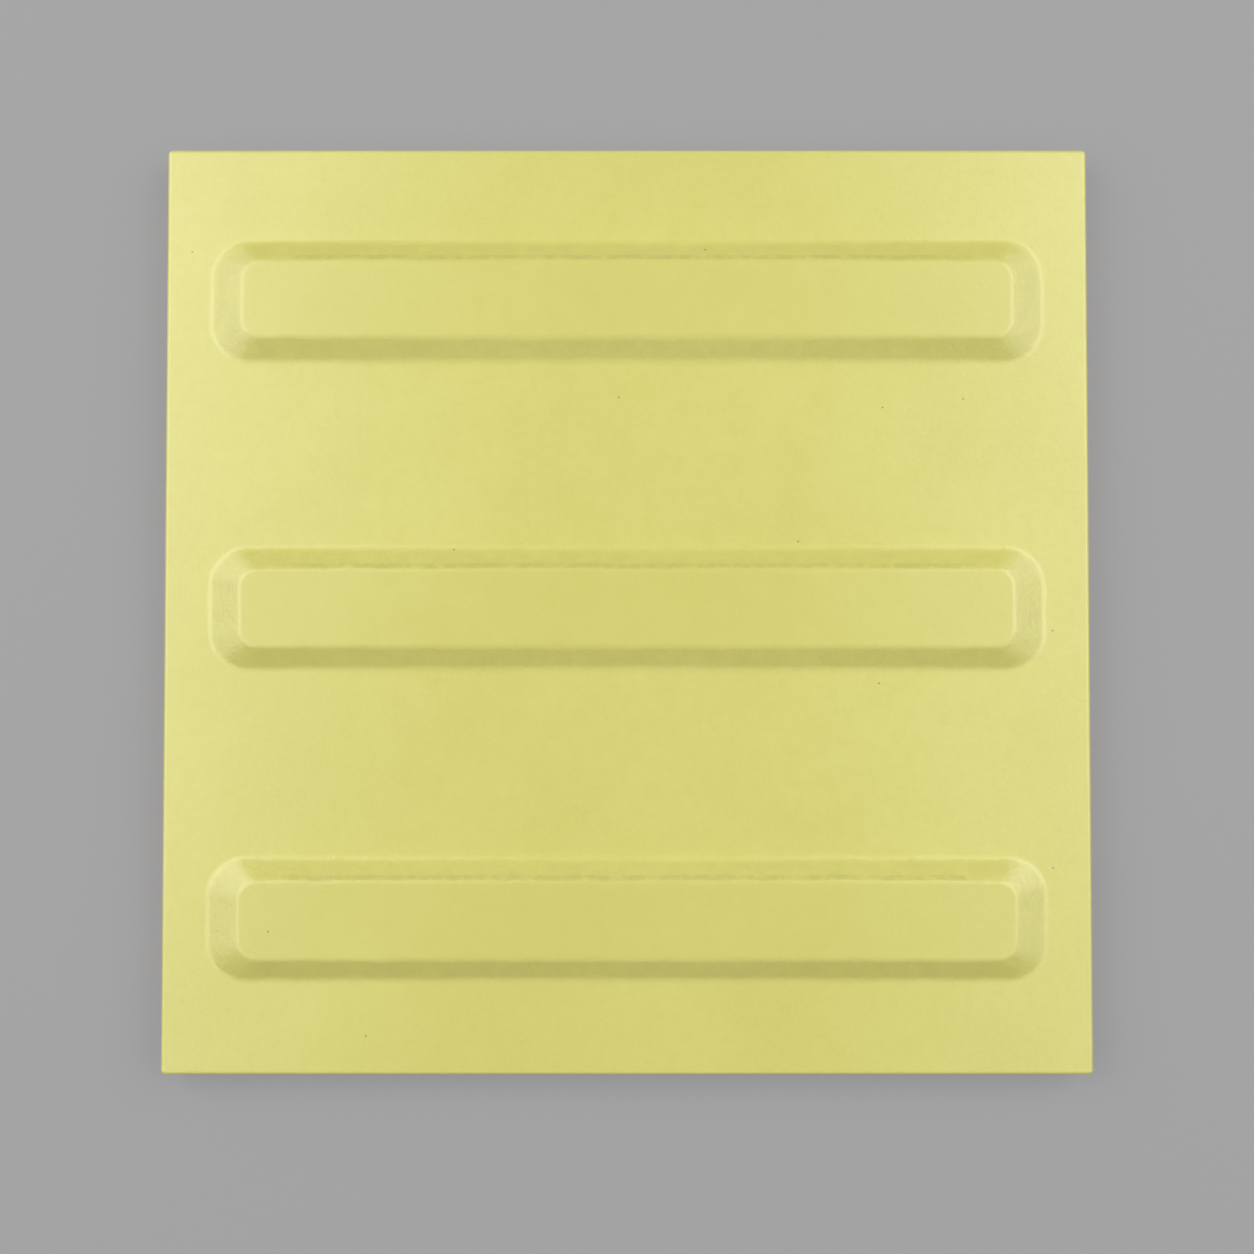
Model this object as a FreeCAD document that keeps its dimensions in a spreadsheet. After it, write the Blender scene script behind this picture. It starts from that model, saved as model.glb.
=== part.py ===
"""Tactile paving slab: a pressed, fired and glazed square paver with raised guide bars.

The slab lies flat on its back.  The origin is at the middle of the back, +Z points up out of the
walking face, X runs along the guide bars and Y runs across them.  All sizes are in millimetres.
"""

import FreeCAD, Part
import Sketcher
import math
import os

# Driving dimensions, in the order they stand in the sheet
SIZES = {
    # the flat slab
    "slab_length": 300.0,  # along the bars
    "slab_width": 300.0,  # across the bars
    "slab_thickness": 13.0,  # back to walking face, without the bars
    "slab_corner": 1.5,  # upright corners, seen from above
    "face_edge_round": 1.2,  # rim of the walking face
    "back_edge_bevel": 1.0,  # rim of the back
    # the raised guide bars
    "bar_count": 3,  # evenly spaced, so that neighbouring slabs carry the spacing on
    "bar_height": 5.0,  # above the walking face
    "bar_top_width": 25.0,  # flat top, to where its edges would meet the flanks
    "bar_top_corner": 6.0,
    "bar_base_corner": 12.0,
    "bar_side_run": 7.0,  # level run of the long flanks
    "bar_end_run": 10.5,  # level run of the end flanks, which slope more gently
    "bar_end_margin": 15.0,  # foot of the end flank to the end of the slab
    "bar_foot_round": 5.0,  # hollow where the flank runs out onto the walking face
    "bar_rim_round": 4.0,  # edge between flank and flat top
    # the shallow cells in the back, which key into the bedding mortar
    "cells_along": 6,
    "cells_across": 6,
    "cell_rib": 6.0,  # rib left between two cells
    "cell_depth": 1.2,
    "cell_corner": 4.0,
    "cell_draft": 20.0,  # degrees, so that the press plate lets go
    "back_rim": 15.0,  # flat rim around the cells
}

# Sizes that follow from the driving dimensions, as expressions of the sheet
BAR_BASE_WIDTH = "(sizes.bar_top_width + 2 * sizes.bar_side_run)"
BAR_BASE_LENGTH = "(sizes.slab_length - 2 * sizes.bar_end_margin)"
BAR_TOP_LENGTH = f"({BAR_BASE_LENGTH} - 2 * sizes.bar_end_run)"
BAR_PITCH = "(sizes.slab_width / sizes.bar_count)"
CELL_PITCH_X = "((sizes.slab_length - 2 * sizes.back_rim + sizes.cell_rib) / sizes.cells_along)"
CELL_PITCH_Y = "((sizes.slab_width - 2 * sizes.back_rim + sizes.cell_rib) / sizes.cells_across)"
CELL_SPAN_X = f"({CELL_PITCH_X} * (sizes.cells_along - 1))"  # first cell's middle to last cell's middle
CELL_SPAN_Y = f"({CELL_PITCH_Y} * (sizes.cells_across - 1))"

TOUCH = 1e-4  # two lengths closer than this are the same place


def make_sheet(doc):
    """The spreadsheet of driving dimensions: a name and a number in each row."""
    sheet = doc.addObject("Spreadsheet::Sheet", "sizes")
    for row, (name, value) in enumerate(SIZES.items(), start=1):
        sheet.set(f"A{row}", name)
        sheet.set(f"B{row}", str(value))
        sheet.setAlias(f"B{row}", name)
    doc.recompute()
    return sheet


def origin_feature(body, role):
    """One of the body's own base planes or axes."""
    return next(f for f in body.Origin.OriginFeatures if f.Role == role)


def rounded_rectangle(body, name, length, width, corner, lift="0", shift_x="0", shift_y="0"):
    """A level sketch of a rounded rectangle, with its middle at the given expressions."""
    sketch = body.newObject("Sketcher::SketchObject", name)
    sketch.AttachmentSupport = [(origin_feature(body, "XY_Plane"), "")]
    sketch.MapMode = "FlatFace"
    for axis, place in (("x", shift_x), ("y", shift_y), ("z", lift)):
        sketch.setExpression(f"AttachmentOffset.Base.{axis}", place)

    for outline_size, size in (("OutlineLength", length), ("OutlineWidth", width), ("OutlineCorner", corner)):
        sketch.addProperty("App::PropertyLength", outline_size, "Outline")
        sketch.setExpression(outline_size, size)
    sketch.recompute()

    half_x = sketch.OutlineLength.Value / 2
    half_y = sketch.OutlineWidth.Value / 2
    radius = sketch.OutlineCorner.Value
    inner_x, inner_y = half_x - radius, half_y - radius
    up = FreeCAD.Vector(0, 0, 1)
    quarter = math.pi / 2
    sides, arcs = [], []
    for turn in range(4):
        spin = FreeCAD.Rotation(up, 90 * turn)
        along, away = (inner_x, half_y) if turn % 2 == 0 else (inner_y, half_x)
        start = spin.multVec(FreeCAD.Vector(-along, -away, 0))
        end = spin.multVec(FreeCAD.Vector(along, -away, 0))
        sides.append(sketch.addGeometry(Part.LineSegment(start, end)))
        middle = spin.multVec(FreeCAD.Vector(along, radius - away, 0))
        circle = Part.Circle(middle, up, radius)
        arcs.append(sketch.addGeometry(Part.ArcOfCircle(circle, (turn - 1) * quarter, turn * quarter)))

    for turn in range(4):
        sketch.addConstraint(Sketcher.Constraint("Horizontal" if turn % 2 == 0 else "Vertical", sides[turn]))
        sketch.addConstraint(Sketcher.Constraint("Tangent", sides[turn], 2, arcs[turn], 1))
        sketch.addConstraint(Sketcher.Constraint("Tangent", arcs[turn], 2, sides[(turn + 1) % 4], 1))
    for arc in arcs[1:]:
        sketch.addConstraint(Sketcher.Constraint("Equal", arcs[0], arc))
    front, right, back, left = sides
    sketch.addConstraint(Sketcher.Constraint("Symmetric", front, 1, back, 1, -1, 1))
    sized = {
        "length": (Sketcher.Constraint("DistanceX", left, 1, right, 1, 2 * half_x), length),
        "width": (Sketcher.Constraint("DistanceY", front, 1, back, 1, 2 * half_y), width),
        "corner": (Sketcher.Constraint("Radius", arcs[0], radius), corner),
    }
    for constraint_name, (constraint, size) in sized.items():
        sketch.renameConstraint(sketch.addConstraint(constraint), constraint_name)
        sketch.setExpression(f"Constraints.{constraint_name}", size)
    return sketch


def edges_where(feature, wanted):
    """Names of the feature's edges whose bounding box passes the test."""
    return [f"Edge{i}" for i, edge in enumerate(feature.Shape.Edges, start=1) if wanted(edge.BoundBox)]


def level(box, height):
    """True for an edge that lies flat at this height."""
    return abs(box.ZMin - height) < TOUCH and abs(box.ZMax - height) < TOUCH


def dress(body, kind, name, base, edge_names, size_property, size):
    """A fillet or chamfer on the named edges of the last feature, sized from the sheet."""
    feature = body.newObject(f"PartDesign::{kind}", name)
    feature.Base = (base, edge_names)
    feature.setExpression(size_property, size)
    body.Document.recompute()
    return feature


def make_slab(body, sheet):
    """The flat slab: a rounded square plate with a softened face rim and a bevelled back rim."""
    outline = rounded_rectangle(
        body, "slab_outline", "sizes.slab_length", "sizes.slab_width", "sizes.slab_corner"
    )
    plate = body.newObject("PartDesign::Pad", "slab_plate")
    plate.Profile = outline
    plate.setExpression("Length", "sizes.slab_thickness")
    body.Document.recompute()

    face_rim = edges_where(plate, lambda box: level(box, sheet.slab_thickness))
    rounded = dress(body, "Fillet", "face_rim", plate, face_rim, "Radius", "sizes.face_edge_round")
    back_rim = edges_where(rounded, lambda box: level(box, 0))
    return dress(body, "Chamfer", "back_rim", rounded, back_rim, "Size", "sizes.back_edge_bevel")


def make_bars(body, sheet):
    """The guide bars: one frustum with rounded corners, repeated across the slab."""
    first_y = f"({BAR_PITCH} - sizes.slab_width) / 2"
    foot = rounded_rectangle(
        body, "bar_foot", BAR_BASE_LENGTH, BAR_BASE_WIDTH, "sizes.bar_base_corner",
        lift="sizes.slab_thickness", shift_y=first_y,
    )
    top = rounded_rectangle(
        body, "bar_top", BAR_TOP_LENGTH, "sizes.bar_top_width", "sizes.bar_top_corner",
        lift="sizes.slab_thickness + sizes.bar_height", shift_y=first_y,
    )
    bar = body.newObject("PartDesign::AdditiveLoft", "first_bar")
    bar.Profile = foot
    bar.Sections = [top]
    bar.Ruled = True
    body.Document.recompute()

    bars = body.newObject("PartDesign::LinearPattern", "bars")
    bars.Originals = [bar]
    bars.Direction = (origin_feature(body, "Y_Axis"), [""])
    bars.Mode = "Spacing"
    bars.setExpression("Offset", BAR_PITCH)
    bars.setExpression("Occurrences", "sizes.bar_count")
    body.Tip = bars
    body.Document.recompute()

    face_limit_x = sheet.slab_length / 2 - sheet.face_edge_round - TOUCH
    face_limit_y = sheet.slab_width / 2 - sheet.face_edge_round - TOUCH
    feet = edges_where(
        bars,
        lambda box: level(box, sheet.slab_thickness)
        and max(-box.XMin, box.XMax) < face_limit_x
        and max(-box.YMin, box.YMax) < face_limit_y,
    )
    footed = dress(body, "Fillet", "bar_feet", bars, feet, "Radius", "sizes.bar_foot_round")
    rims = edges_where(footed, lambda box: level(box, sheet.slab_thickness + sheet.bar_height))
    return dress(body, "Fillet", "bar_rims", footed, rims, "Radius", "sizes.bar_rim_round")


def make_back_cells(body):
    """The keyed back: a square grid of shallow drafted cells, with ribs between them."""
    mouth = rounded_rectangle(
        body, "cell_mouth", f"{CELL_PITCH_X} - sizes.cell_rib", f"{CELL_PITCH_Y} - sizes.cell_rib",
        "sizes.cell_corner", shift_x=f"-{CELL_SPAN_X} / 2", shift_y=f"-{CELL_SPAN_Y} / 2",
    )
    cell = body.newObject("PartDesign::Pocket", "first_cell")
    cell.Profile = mouth
    cell.Reversed = True
    cell.setExpression("Length", "sizes.cell_depth")
    cell.setExpression("TaperAngle", "-sizes.cell_draft")
    body.Document.recompute()

    cells = body.newObject("PartDesign::LinearPattern", "cells")
    cells.Originals = [cell]
    cells.Direction = (origin_feature(body, "X_Axis"), [""])
    cells.Direction2 = (origin_feature(body, "Y_Axis"), [""])
    cells.Mode = "Extent"
    cells.Mode2 = "Extent"
    cells.setExpression("Length", CELL_SPAN_X)
    cells.setExpression("Length2", CELL_SPAN_Y)
    cells.setExpression("Occurrences", "sizes.cells_along")
    cells.setExpression("Occurrences2", "sizes.cells_across")
    body.Tip = cells
    body.Document.recompute()
    return cells


def check(doc, body):
    """Stops the build if a feature failed or the slab isn't one sound solid."""
    failed = [o.Label for o in doc.Objects if "Invalid" in o.State or "Error" in o.State]
    if failed:
        raise RuntimeError(f"these features failed: {failed}")
    if body.Shape.isNull() or not body.Shape.isValid() or len(body.Shape.Solids) != 1:
        raise RuntimeError(f"{body.Label} is not one valid solid")


doc = FreeCAD.newDocument("tactile_paving")
sheet = make_sheet(doc)
body = doc.addObject("PartDesign::Body", "slab_body")
body.Label = "tactile_slab"
make_slab(body, sheet)
make_bars(body, sheet)
make_back_cells(body)
doc.recompute()
check(doc, body)

os.makedirs("parts", exist_ok=True)
body.Shape.exportStep(f"parts/{body.Label}.step")
print(f"{body.Label}: {body.Shape.Volume / 1000:.1f} cm3, {body.Shape.BoundBox}")
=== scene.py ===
import math

import bmesh
import bpy
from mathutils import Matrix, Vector, noise


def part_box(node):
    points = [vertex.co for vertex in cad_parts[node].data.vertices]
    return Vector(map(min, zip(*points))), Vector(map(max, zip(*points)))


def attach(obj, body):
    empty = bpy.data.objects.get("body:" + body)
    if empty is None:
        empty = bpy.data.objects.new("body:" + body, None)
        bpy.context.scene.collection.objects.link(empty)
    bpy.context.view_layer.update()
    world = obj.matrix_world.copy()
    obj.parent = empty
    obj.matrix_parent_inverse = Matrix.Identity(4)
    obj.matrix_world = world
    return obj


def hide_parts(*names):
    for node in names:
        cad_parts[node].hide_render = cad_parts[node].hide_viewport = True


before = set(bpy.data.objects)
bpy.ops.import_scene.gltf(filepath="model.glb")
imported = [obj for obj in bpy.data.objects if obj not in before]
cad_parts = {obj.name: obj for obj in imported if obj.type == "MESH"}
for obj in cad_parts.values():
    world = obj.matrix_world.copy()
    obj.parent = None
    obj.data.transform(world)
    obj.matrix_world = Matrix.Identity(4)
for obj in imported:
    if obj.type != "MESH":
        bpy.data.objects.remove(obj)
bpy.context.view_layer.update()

# The slab is a square paver, dry-pressed from stoneware clay in one piece with its guide bars.
# Its walking face: each bar starts as its flat top, and the edge of that is drawn out ring by ring,
# round the rim, down the flank, out of the foot hollow and over the flat to its neighbours.
slab_low, slab_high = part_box("tactile_slab")
half_length = slab_high.x
half_width = slab_high.y
back_z = slab_low.z
bar_top_z = slab_high.z
bar_count = 3
bar_height = 0.005
face_z = bar_top_z - bar_height
strip_half_width = half_width / bar_count

bar_top = {"half_x": 0.1245, "half_y": 0.0125, "corner": 0.006}
bar_foot = {"half_x": 0.1350, "half_y": 0.0195, "corner": 0.012}
bar_rim_round = 0.004
bar_foot_round = 0.005
flat_hold = 0.0006  # narrow flat ring beside a round, so that the flat stays flat
face_edge_round = 0.0012
upright_round = 0.0015
edge_hold = 0.0002
up = Vector((0, 0, 1))


def edge_point(outline, anchor, heading, z):
    """The point of a rounded rectangle for an anchor on its inner rectangle and a heading from there."""
    x = anchor.x * (outline["half_x"] - outline["corner"]) + heading.x * outline["corner"]
    y = anchor.y * (outline["half_y"] - outline["corner"]) + heading.y * outline["corner"]
    return Vector((x, y, z))


def round_heading(x, y):
    """Turns a place in a square corner, each way from 0 to 1, into its place in a round corner."""
    reach = max(abs(x), abs(y))
    if reach == 0:
        return Vector((0, 0, 0))
    angle = math.pi / 4 * min(abs(x), abs(y)) / reach
    if abs(y) > abs(x):
        angle = math.pi / 2 - angle
    return Vector((math.copysign(math.cos(angle), x), math.copysign(math.sin(angle), y), 0)) * reach


def cap_grid(bm, straight_x, straight_y, corner_steps):
    """A grid for a flat cap, whose vertices remember their anchor and heading."""
    anchor_layer = bm.verts.layers.float_vector.new("anchor")
    heading_layer = bm.verts.layers.float_vector.new("heading")
    half_x = straight_x / 2 + corner_steps
    half_y = straight_y / 2 + corner_steps
    steps_x, steps_y = int(2 * half_x), int(2 * half_y)
    verts = bmesh.ops.create_grid(bm, x_segments=steps_x, y_segments=steps_y, size=1)["verts"]
    for vert in verts:
        x, y = vert.co.x * half_x, vert.co.y * half_y
        inner_x = max(-straight_x / 2, min(straight_x / 2, x))
        inner_y = max(-straight_y / 2, min(straight_y / 2, y))
        vert[anchor_layer] = (2 * inner_x / straight_x, 2 * inner_y / straight_y, 0)
        vert[heading_layer] = round_heading((x - inner_x) / corner_steps, (y - inner_y) / corner_steps)
    return verts, anchor_layer, heading_layer


def only(geometry, kind):
    """The vertices, edges or faces among mixed geometry."""
    return [item for item in geometry if isinstance(item, kind)]


def open_edges(bm):
    """The edges along the rim of an open sheet."""
    return [edge for edge in bm.edges if edge.is_boundary]


def open_verts(bm):
    """The vertices along the rim of an open sheet."""
    return [vert for vert in bm.verts if vert.is_boundary]


def next_ring(bm, edges):
    """Draws the open edge of a sheet out by one ring, and gives the ring's edges and vertices."""
    grown = bmesh.ops.extrude_edge_only(bm, edges=edges)["geom"]
    ring = [edge for edge in only(grown, bmesh.types.BMEdge) if edge.is_boundary]
    return ring, only(grown, bmesh.types.BMVert)


def bar_side(anchor, heading, part, turn, beyond=0.0):
    """A point on a bar's side: a share of the turn over its rim, or of the turn out of its foot."""
    top = edge_point(bar_top, anchor, heading, bar_top_z)
    foot = edge_point(bar_foot, anchor, heading, face_z)
    across = Vector((foot.x - top.x, foot.y - top.y, 0))
    slope = math.atan2(bar_height, across.length)
    out = across.normalized()
    if part == "rim":
        reach = bar_rim_round * (math.sin(slope * turn) - math.tan(slope / 2))
        return top + out * (reach + beyond) - up * bar_rim_round * (1 - math.cos(slope * turn))
    reach = bar_foot_round * (math.tan(slope / 2) - math.sin(slope * turn))
    return foot + out * (reach + beyond) + up * bar_foot_round * (1 - math.cos(slope * turn))


face = bmesh.new()
cap, anchor_layer, heading_layer = cap_grid(face, straight_x=200, straight_y=12, corner_steps=7)
for vert in cap:
    anchor, heading = vert[anchor_layer].copy(), vert[heading_layer].copy()
    vert.co = edge_point(bar_top, anchor, Vector((0, 0, 0)), bar_top_z)
    if heading.length:
        rim = bar_side(anchor, heading.normalized(), "rim", 0, -flat_hold)
        vert.co = vert.co.lerp(rim, heading.length)

round_steps = 6
round_turns = [step / round_steps for step in range(round_steps + 1)]
side_steps = [("rim", turn, 0) for turn in round_turns]
side_steps += [("foot", turn, 0) for turn in reversed(round_turns)]
side_steps += [("foot", 0, flat_hold)]
edges = open_edges(face)
for part, turn, beyond in side_steps:
    edges, verts = next_ring(face, edges)
    for vert in verts:
        vert.co = bar_side(vert[anchor_layer], vert[heading_layer], part, turn, beyond)

edge_inset = face_edge_round + edge_hold
strip_corner = 0.027  # the bar's round corners fan out over this much of the strip's edge
strip = {"half_x": half_length - edge_inset, "half_y": strip_half_width, "corner": strip_corner}
flat_rings = 8
for ring in range(1, flat_rings + 1):
    edges, verts = next_ring(face, edges)
    for vert in verts:
        anchor, heading = vert[anchor_layer], vert[heading_layer]
        square = heading / max(abs(heading.x), abs(heading.y))
        near = bar_side(anchor, heading, "foot", 0, flat_hold)
        vert.co = near.lerp(edge_point(strip, anchor, square, face_z), ring / flat_rings)

first_strip = face.verts[:] + face.edges[:] + face.faces[:]
for step in range(1, bar_count):
    copied = only(bmesh.ops.duplicate(face, geom=first_strip)["geom"], bmesh.types.BMVert)
    bmesh.ops.translate(face, verts=copied, vec=(0, step * 2 * strip_half_width, 0))
bmesh.ops.translate(face, verts=face.verts, vec=(0, strip_half_width - half_width, 0))
bmesh.ops.remove_doubles(face, verts=face.verts, dist=flat_hold / 10)

# The sides of the slab come straight out of the mould, with a small round along the walking face
# and a bevel along the back.  They are drawn down from the open edge of the walking face, which first
# gets more points at its corners, because the upright edges are rounded.
back_bevel = 0.001
side_rows = 6
inner_x = half_length - upright_round
inner_y = half_width - upright_round
for vert in face.verts:
    vert.co.y = max(edge_inset - half_width, min(half_width - edge_inset, vert.co.y))
corners = [vert for vert in open_verts(face) if abs(vert.co.x) > inner_x and abs(vert.co.y) > inner_y]
for corner in corners:
    for edge in [edge for edge in corner.link_edges if edge.is_boundary]:
        round_share = (upright_round - edge_inset) / edge.calc_length()
        for share in (round_share, 2 / 3, 1 / 2):  # the part along the round, then that part in thirds
            edge = bmesh.utils.edge_split(edge, corner, share)[0]
bmesh.ops.poke(face, faces=[polygon for polygon in face.faces if len(polygon.verts) > 4])
edges = open_edges(face)
for vert in open_verts(face):
    x = max(-inner_x, min(inner_x, vert.co.x))
    y = max(-inner_y, min(inner_y, vert.co.y))
    inner = Vector((x, y, face_z))
    vert[anchor_layer] = (inner.x / inner_x, inner.y / inner_y, 0)
    vert[heading_layer] = (vert.co - inner).normalized()

side_profile = []  # distance in from the outside of the slab, and height
for turn in round_turns:
    angle = math.pi / 2 * turn
    inset = face_edge_round * (1 - math.sin(angle))
    drop = face_edge_round * (1 - math.cos(angle))
    side_profile.append((inset, face_z - drop))
side_top = face_z - face_edge_round
side_bottom = back_z + back_bevel
for row in range(1, side_rows + 1):
    side_profile.append((0, side_top + (side_bottom + edge_hold - side_top) * row / side_rows))
side_profile += [(0, side_bottom), (back_bevel, back_z), (back_bevel + edge_hold, back_z)]
for inset, z in side_profile:
    outline = {
        "half_x": half_length - inset,
        "half_y": half_width - inset,
        "corner": upright_round - inset,
    }
    edges, verts = next_ring(face, edges)
    for vert in verts:
        vert.co = edge_point(outline, vert[anchor_layer], vert[heading_layer], z)

# The back was pressed against a plate with raised squares, which leave shallow cells between
# crossing ribs for the bedding mortar to key into.  One cell is drawn out from its floor, repeated
# in a grid and filled in to the edge of the sides.
cells_each_way = 6
cell_rib = 0.006
back_rim = 0.015
cell_depth = 0.0012
cell_draft = math.radians(20)
cell_corner = 0.004
cell_soft = 0.0004
cell_pitch = (2 * half_length - 2 * back_rim + cell_rib) / cells_each_way
cell_half = (cell_pitch - cell_rib) / 2
draft_run = cell_depth * math.tan(cell_draft)


def cell_outline(grow):
    """The cell's mouth, larger or smaller by this much all round."""
    return {"half_x": cell_half + grow, "half_y": cell_half + grow, "corner": cell_corner + grow}


back = bmesh.new()
cap, cell_anchor, cell_heading = cap_grid(back, straight_x=4, straight_y=4, corner_steps=3)
for vert in cap:
    floor_outline = cell_outline(-draft_run - 2 * cell_soft)
    vert.co = edge_point(floor_outline, vert[cell_anchor], vert[cell_heading], cell_depth)
cell_steps = [
    (-draft_run - cell_soft, cell_depth),
    (-draft_run - cell_soft / 4, cell_depth - cell_soft / 4),
    (-draft_run + cell_soft / 4, cell_depth - cell_soft),
    (-cell_soft / 4, cell_soft),
    (cell_soft / 4, cell_soft / 4),
    (cell_soft, 0),
    (2 * cell_soft, 0),
]
edges = open_edges(back)
for grow, depth in cell_steps:
    edges, verts = next_ring(back, edges)
    for vert in verts:
        vert.co = edge_point(cell_outline(grow), vert[cell_anchor], vert[cell_heading], depth)
edges, verts = next_ring(back, edges)
cell_tile = {"half_x": cell_pitch / 2, "half_y": cell_pitch / 2, "corner": cell_corner + cell_rib / 2}
for vert in verts:
    heading = vert[cell_heading]
    square = heading / max(abs(heading.x), abs(heading.y))
    vert.co = edge_point(cell_tile, vert[cell_anchor], square, 0)

for direction in (Vector((cell_pitch, 0, 0)), Vector((0, cell_pitch, 0))):
    first = back.verts[:] + back.edges[:] + back.faces[:]
    for step in range(1, cells_each_way):
        copied = only(bmesh.ops.duplicate(back, geom=first)["geom"], bmesh.types.BMVert)
        bmesh.ops.translate(back, verts=copied, vec=direction * step)
first_cell_middle = (cells_each_way - 1) / 2 * cell_pitch
bmesh.ops.translate(back, verts=back.verts, vec=(-first_cell_middle, -first_cell_middle, back_z))
bmesh.ops.remove_doubles(back, verts=back.verts, dist=cell_soft / 10)

back_mesh = bpy.data.meshes.new("keyed_back")
back.to_mesh(back_mesh)
back.free()
face.from_mesh(back_mesh)
bpy.data.meshes.remove(back_mesh)
bmesh.ops.triangle_fill(face, use_beauty=True, edges=open_edges(face), normal=(0, 0, -1))
bmesh.ops.recalc_face_normals(face, faces=face.faces)
sharp_angle = math.radians(40)
sharp = [edge for edge in face.edges if edge.calc_face_angle(0) > sharp_angle]
bmesh.ops.bevel(
    face, geom=sharp, offset=edge_hold / 2, affect="EDGES", segments=2, profile=0.5, material=-1
)

# Drying and firing leave the face a little uneven, by a tenth of a millimetre over a hand's width.
# The bars' rims and feet wander a little too, because the glaze runs and gathers along them.
warp_depth = 0.00012
warp_width = 0.045
wander_sizes = {0.009: 0.0002, 0.004: 0.0002}  # length of the waves, and how far they reach
wander_margin = 0.008  # fades out towards the slab's edge over this much
along_layer = up * 3.5  # two layers of the noise, one for each way across the face
across_layer = up * 7.5
for vert in face.verts:
    seen_from_above = Vector((vert.co.x, vert.co.y, 0))
    unevenness = 0.5 + 0.5 * noise.noise(seen_from_above / warp_width)
    from_edge = min(half_length - abs(vert.co.x), half_width - abs(vert.co.y)) - edge_inset
    if from_edge > 0 and vert.co.z > side_top:
        fade = min(1, from_edge / wander_margin)
        for length, reach in wander_sizes.items():
            vert.co.x += noise.noise(seen_from_above / length + along_layer) * reach * fade
            vert.co.y += noise.noise(seen_from_above / length + across_layer) * reach * fade
    share_of_height = max(0, vert.co.z - side_bottom) / (face_z - side_bottom)
    vert.co.z -= warp_depth * unevenness * share_of_height
    for axis in range(3):
        vert.co[axis] = max(slab_low[axis], min(slab_high[axis], vert.co[axis]))
for polygon in face.faces:
    polygon.smooth = True
for layer in list(face.verts.layers.float_vector.values()):
    face.verts.layers.float_vector.remove(layer)
mesh = bpy.data.meshes.new("tactile_paving_slab")
face.to_mesh(mesh)
face.free()
slab = bpy.data.objects.new("tactile_paving_slab", mesh)
bpy.context.scene.collection.objects.link(slab)
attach(slab, "root")
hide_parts("tactile_slab")

# The finish is an opaque satin glaze, sprayed on from above before the firing.  It covers the walking
# face, thins on the flanks and rims of the bars and ends part way down the sides, where the
# buff clay shows bare, as it does on the back.  The darker colour on the bars' flanks is partly this
# thinner glaze and partly painted shade, which deepens the shading of the flanks.
glaze_mid = (0.66, 0.624, 0.161, 1)
glaze_pale = (0.695, 0.664, 0.186, 1)
glaze_deep = (0.613, 0.575, 0.133, 1)
thin_glaze_and_flank_shade = (0.60, 0.57, 0.155, 1)
glaze_broken = (0.54, 0.52, 0.14, 1)
iron_speck = (0.10, 0.085, 0.05, 1)
clay_buff = (0.56, 0.46, 0.33, 1)
clay_pale = (0.66, 0.57, 0.43, 1)
clay_dark = (0.30, 0.22, 0.15, 1)
glaze_end_z = back_z + 0.0085
glaze_thickness = 0.00015

glaze = bpy.data.materials.new("satin_yellow_glaze")
glaze.use_nodes = True
mesh.materials.append(glaze)


def glaze_node(kind, sockets, **settings):
    """Adds a node to the glaze, with its settings and, on its sockets, values or other nodes' outputs."""
    node = glaze.node_tree.nodes.new(kind)
    for name, value in settings.items():
        setattr(node, name, value)
    for name, value in sockets.items():
        if isinstance(value, bpy.types.NodeSocket):
            glaze.node_tree.links.new(value, node.inputs[name])
        else:
            node.inputs[name].default_value = value
    return node


def sum_of(first, second):
    return glaze_node("ShaderNodeMath", {0: first, 1: second}, operation="ADD").outputs[0]


def product(first, second):
    return glaze_node("ShaderNodeMath", {0: first, 1: second}, operation="MULTIPLY").outputs[0]


def rise(value, low, high, from_value=0.0, to_value=1.0):
    """Goes softly from one value to another as the first goes from low to high."""
    sockets = {"Value": value, "From Min": low, "From Max": high}
    sockets.update({"To Min": from_value, "To Max": to_value})
    return glaze_node("ShaderNodeMapRange", sockets, interpolation_type="SMOOTHSTEP").outputs["Result"]


def band(value, low, high, soft):
    """1 between two values, and softly 0 outside them."""
    return product(rise(value, low - soft, low + soft), rise(value, high - soft, high + soft, 1.0, 0.0))


def clouds(size, detail=2.0):
    """Uneven patches of about this size, in metres."""
    sockets = {"Vector": place, "Scale": 1 / size, "Detail": detail, "Roughness": 0.55}
    return glaze_node("ShaderNodeTexNoise", sockets).outputs["Fac"]


def blend_colour(share, first, second):
    sockets = {0: share, 6: first, 7: second}
    return glaze_node("ShaderNodeMix", sockets, data_type="RGBA").outputs[2]


def blend_value(share, first, second):
    sockets = {0: share, 2: first, 3: second}
    return glaze_node("ShaderNodeMix", sockets, data_type="FLOAT").outputs[0]


place = glaze_node("ShaderNodeTexCoord", {}).outputs["Object"]
axes = glaze_node("ShaderNodeSeparateXYZ", {"Vector": place}).outputs
height = axes["Z"]

lower_edge_run = product(clouds(0.012, 3), 0.003)
covered = rise(sum_of(height, lower_edge_run), glaze_end_z + 0.0012, glaze_end_z + 0.0018)

broad_patches = rise(clouds(0.075, 3), 0.36, 0.64)
evenness = 0.7
small_patches = rise(clouds(0.004), 0.35, 0.75, 0, 0.3)
fine_grain = rise(clouds(0.0012), 0.3, 0.7, 0, 0.3)
colour = blend_colour(broad_patches, glaze_deep, glaze_pale)
colour = blend_colour(evenness, colour, glaze_mid)
colour = blend_colour(small_patches, colour, glaze_deep)
colour = blend_colour(fine_grain, colour, glaze_pale)

# The flanks of the bars are painted darker in patches: partly thinner glaze, partly painted shade that
# deepens their shading.
flank = band(height, face_z + 0.0008, bar_top_z - 0.0008, 0.0006)
thin_glaze_and_shade_share = rise(clouds(0.005, 3), 0.3, 0.7, 0.15, 0.65)
colour = blend_colour(product(flank, thin_glaze_and_shade_share), colour, thin_glaze_and_flank_shade)

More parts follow.
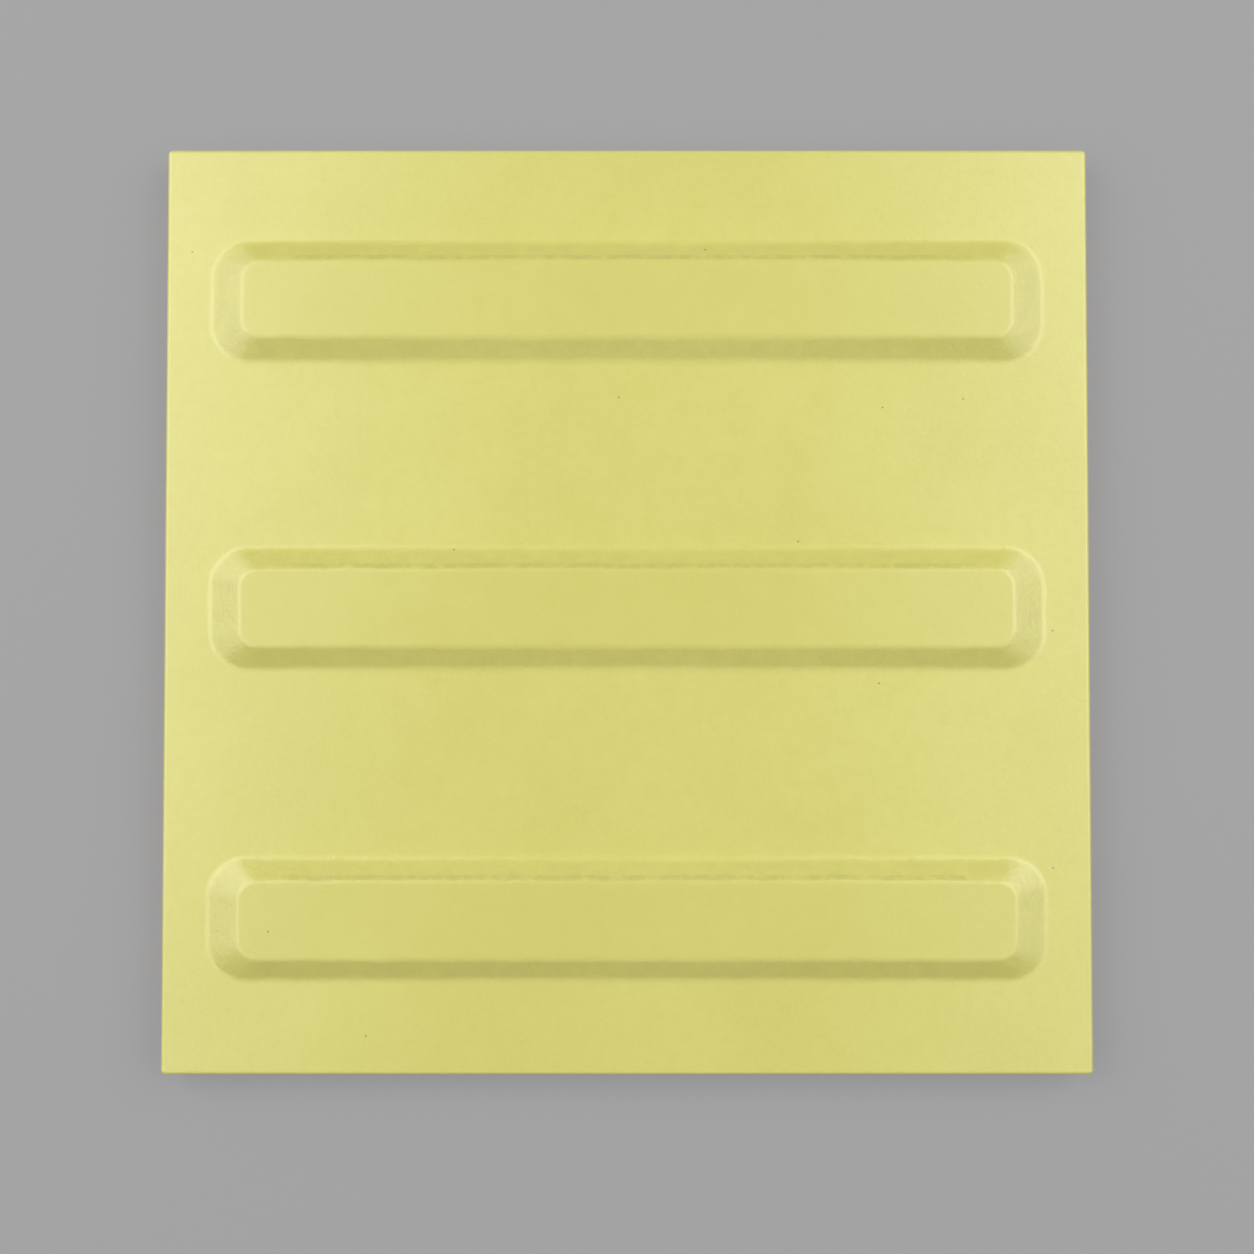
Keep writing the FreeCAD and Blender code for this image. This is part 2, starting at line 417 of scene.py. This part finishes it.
wrap_sockets = {0: axes["Y"], 1: strip_half_width, 2: -strip_half_width}
across_bar = glaze_node("ShaderNodeMath", wrap_sockets, operation="WRAP").outputs[0]
far_side = rise(across_bar, 0.006, 0.012)
rim_zone = band(height, bar_top_z - 0.0016, bar_top_z - 0.0003, 0.0002)
straight_part = band(axes["X"], -0.114, 0.114, 0.008)
far_rim = product(product(far_side, rim_zone), straight_part)
broken = rise(sum_of(far_rim, clouds(0.003, 3)), 1.25, 1.65, 0, 0.8)
colour = blend_colour(broken, colour, glaze_broken)

tops = rise(height, bar_top_z - 0.0006, bar_top_z - 0.0002, 0, 0.3)
colour = blend_colour(tops, colour, glaze_deep)

speck_sockets = {"Vector": place, "Scale": 36.0, "Randomness": 1.0}
speck_cells = glaze_node("ShaderNodeTexVoronoi", speck_sockets, voronoi_dimensions="2D").outputs
cell_draw = glaze_node("ShaderNodeSeparateColor", {"Color": speck_cells["Color"]}).outputs["Red"]
cell_has_speck = rise(cell_draw, 0.86, 0.87)
dot = rise(speck_cells["Distance"], 0.007, 0.016, 1.0, 0.0)
on_face = rise(height, face_z - 0.001, face_z - 0.0005)
speck_strength = 0.6
speck = product(product(product(dot, cell_has_speck), on_face), speck_strength)
colour = blend_colour(speck, colour, iron_speck)

clay_patches = rise(clouds(0.03, 4), 0.35, 0.65)
clay_grit = rise(clouds(0.0016, 3), 0.62, 0.72, 0, 0.6)
clay = blend_colour(clay_patches, clay_buff, clay_pale)
clay = blend_colour(clay_grit, clay, clay_dark)

orange_peel = product(clouds(0.0022, 1), 0.00004)
fine_tooth = product(clouds(0.0008), 0.000012)
bar_sides = band(height, face_z + 0.00005, bar_top_z - 0.0003, 0.0001)
side_grain = product(product(sum_of(clouds(0.0016, 3), -0.5), 0.00013), bar_sides)
glaze_height = sum_of(sum_of(orange_peel, fine_tooth), sum_of(side_grain, glaze_thickness))
clay_height = product(clouds(0.0011, 5), 0.00012)
surface = blend_value(covered, clay_height, glaze_height)
bump = glaze_node("ShaderNodeBump", {"Height": surface, "Distance": 1.0, "Strength": 1.0}).outputs["Normal"]

glaze_roughness = rise(clouds(0.009, 3), 0.3, 0.7, 0.28, 0.33)
clay_roughness = 0.88
roughness = blend_value(covered, clay_roughness, glaze_roughness)

shader = glaze.node_tree.nodes["Principled BSDF"]
shader.inputs["IOR"].default_value = 1.8
glaze.node_tree.links.new(blend_colour(covered, clay, colour), shader.inputs["Base Color"])
glaze.node_tree.links.new(roughness, shader.inputs["Roughness"])
glaze.node_tree.links.new(bump, shader.inputs["Normal"])

# The slab lies on plain pale paper in a studio, between two large white panels.  A smaller, brighter
# soft box stands in front of each panel, a low one behind each end, and a weak one towards the viewer.
paper_colour = (0.345, 0.341, 0.345, 1)
backdrop_colour = (0.38, 0.376, 0.38, 1)
backdrop_share = 0.55  # how much of the paper's look stays the same where no light reaches
room_light = 0.18


def seen_directly(tree):
    """1 for the rays that show the backdrop itself, and 0 for the rays that light the slab by it."""
    rays = tree.nodes.new("ShaderNodeLightPath").outputs
    seen = rays["Is Camera Ray"]
    for kind in ("Is Glossy Ray", "Is Transmission Ray"):
        either = tree.nodes.new("ShaderNodeMath")
        either.operation = "ADD"
        tree.links.new(seen, either.inputs[0])
        tree.links.new(rays[kind], either.inputs[1])
        seen = either.outputs[0]
    return seen


def blend_where_seen(tree, first, second):
    """Goes from one value to another where the backdrop is seen directly."""
    blend = tree.nodes.new("ShaderNodeMix")
    blend.inputs["A"].default_value = first
    blend.inputs["B"].default_value = second
    tree.links.new(seen_directly(tree), blend.inputs["Factor"])
    return blend.outputs["Result"]


floor_half = 6
floor_gap = 0.00005  # keeps the floor clear of the slab's back
floor_sheet = bmesh.new()
bmesh.ops.create_grid(floor_sheet, x_segments=1, y_segments=1, size=floor_half)
floor_mesh = bpy.data.meshes.new("floor")
floor_sheet.to_mesh(floor_mesh)
floor_sheet.free()
floor = bpy.data.objects.new("floor", floor_mesh)
floor.location.z = back_z - floor_gap
bpy.context.scene.collection.objects.link(floor)
paper = bpy.data.materials.new("pale_paper")
paper.use_nodes = True
floor_mesh.materials.append(paper)
paper_tree = paper.node_tree
lit_paper = paper_tree.nodes["Principled BSDF"]
lit_paper.inputs["Base Color"].default_value = paper_colour
lit_paper.inputs["Roughness"].default_value = 0.9
even_paper = paper_tree.nodes.new("ShaderNodeEmission")
even_paper.inputs["Color"].default_value = backdrop_colour
paper_mix = paper_tree.nodes.new("ShaderNodeMixShader")
paper_out = paper_tree.nodes["Material Output"]
paper_tree.links.new(blend_where_seen(paper_tree, 0, backdrop_share), paper_mix.inputs["Fac"])
paper_tree.links.new(lit_paper.outputs["BSDF"], paper_mix.inputs[1])
paper_tree.links.new(even_paper.outputs["Emission"], paper_mix.inputs[2])
paper_tree.links.new(paper_mix.outputs["Shader"], paper_out.inputs["Surface"])

room = bpy.data.worlds.new("studio")
room.use_nodes = True
room_shade = room.node_tree.nodes["Background"]
room_shade.inputs["Color"].default_value = (1, 1, 1, 1)
room_seen = backdrop_share * backdrop_colour[0]
room_strength = blend_where_seen(room.node_tree, room_light, room_seen)
room.node_tree.links.new(room_strength, room_shade.inputs["Strength"])
bpy.context.scene.world = room


def soft_box(name, location, length, width, power):
    """A soft box that faces the middle of the slab, with its length level."""
    lamp = bpy.data.lights.new(name, "AREA")
    lamp.shape = "RECTANGLE"
    lamp.size = length
    lamp.size_y = width
    lamp.energy = power
    box = bpy.data.objects.new(name, lamp)
    box.location = location
    towards_slab = Vector((0, 0, face_z)) - box.location
    box.rotation_euler = towards_slab.to_track_quat("-Z", "Y").to_euler()
    bpy.context.scene.collection.objects.link(box)


soft_box("left_panel", (-0.86, 0.13, 0.979), length=2.0, width=1.27, power=11.4)
soft_box("right_panel", (0.866, 0.09, 0.979), length=2.0, width=1.27, power=9.0)
soft_box("left_light", (-0.817, 0.298, 0.979), length=1.0, width=0.75, power=2.7)
soft_box("right_light", (0.817, 0.298, 0.979), length=1.0, width=0.75, power=3.3)
soft_box("left_low", (-1.024, 0.717, 0.371), length=1.4, width=0.5, power=1.5)
soft_box("right_low", (1.024, 0.717, 0.371), length=1.4, width=0.5, power=1.5)
soft_box("near_light", (0, -0.919, 0.932), length=1.4, width=0.6, power=0.55)

# The camera looks down on the walking face, tilted a little because it stands back from the middle.
camera_height = 0.54
camera_back = 0.022
camera_tilt = math.radians(1.7)
lens = bpy.data.cameras.new("camera")
lens.sensor_width = 36
lens.lens = 47.9
camera = bpy.data.objects.new("camera", lens)
camera.location = (0, -camera_back, face_z + camera_height)
camera.rotation_euler = (camera_tilt, 0, 0)
bpy.context.scene.collection.objects.link(camera)
bpy.context.scene.camera = camera
bpy.context.scene.view_settings.view_transform = "Standard"
